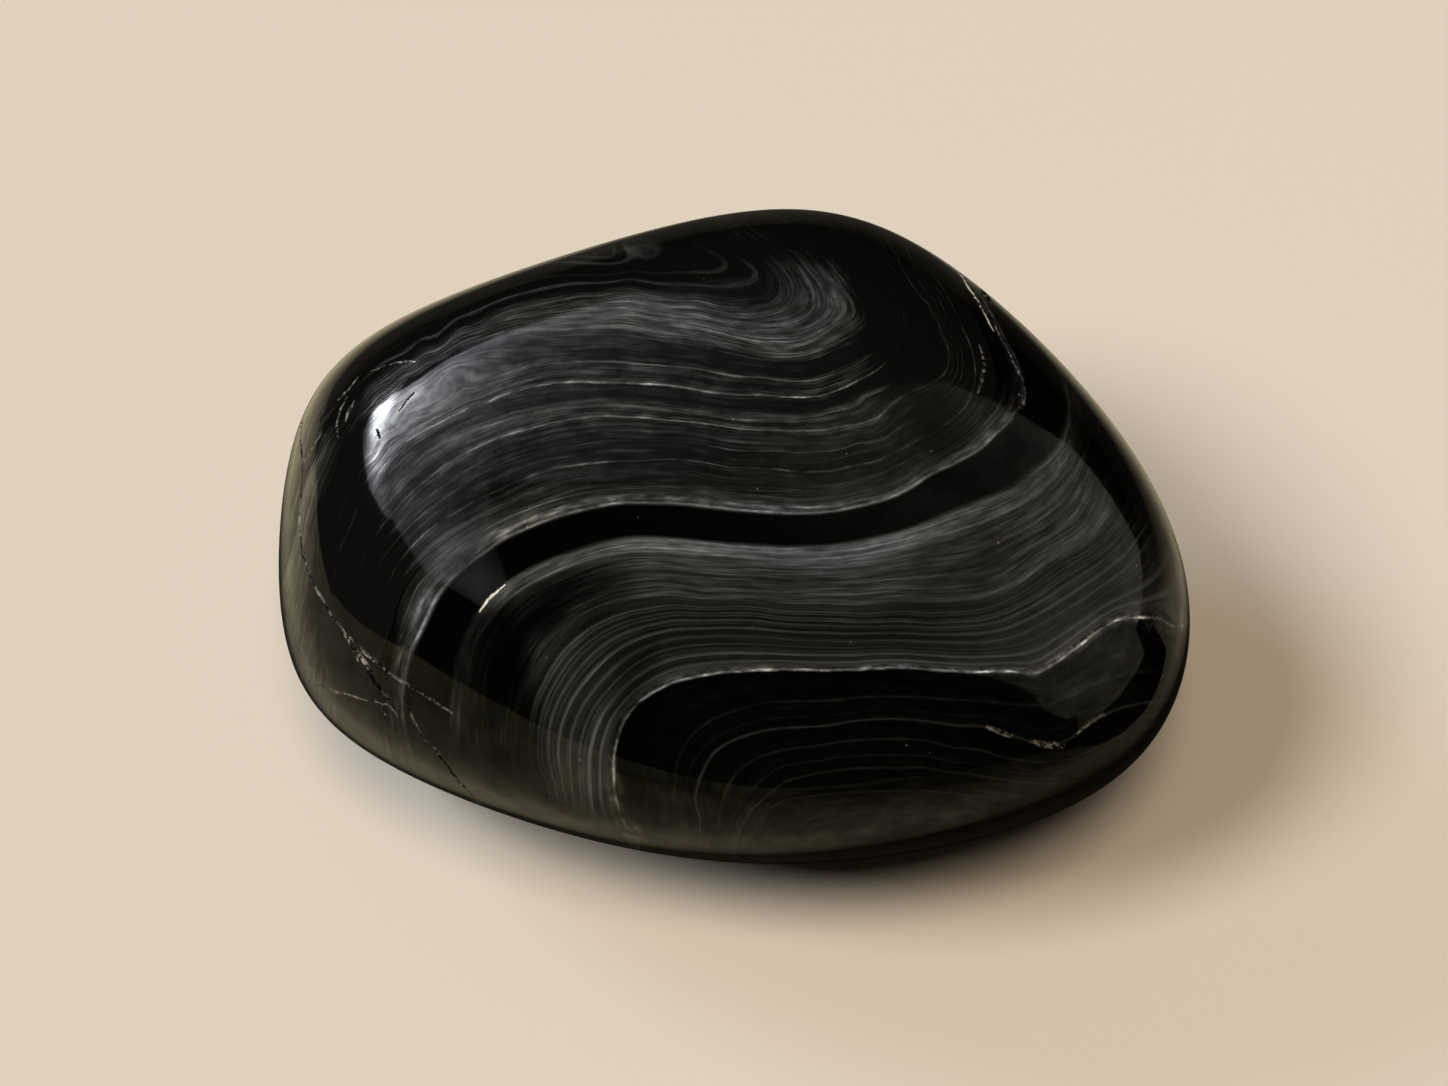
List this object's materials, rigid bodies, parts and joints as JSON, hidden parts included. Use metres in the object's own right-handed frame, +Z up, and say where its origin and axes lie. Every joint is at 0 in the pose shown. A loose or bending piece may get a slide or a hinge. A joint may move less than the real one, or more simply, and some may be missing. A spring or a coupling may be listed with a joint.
{
  "type": "polished black onyx stone",
  "caption": "Tumbled and polished black onyx with grey and white flow bands; a rounded stone that rests on a small flat on its underside.",
  "frame": {"origin": "on the resting plane, near the middle of the worn flat under the stone", "axes": "+X along the stone's longest side, +Y to its taller back, +Z up from the surface it rests on"},
  "size_m": [0.0598, 0.0535, 0.0351],
  "materials": {
    "onyx": "high polish, roughness about 0.08, black with grey and white bands"
  },
  "bodies": {
    "root": {"stone": "onyx"}
  },
  "joints": []
}
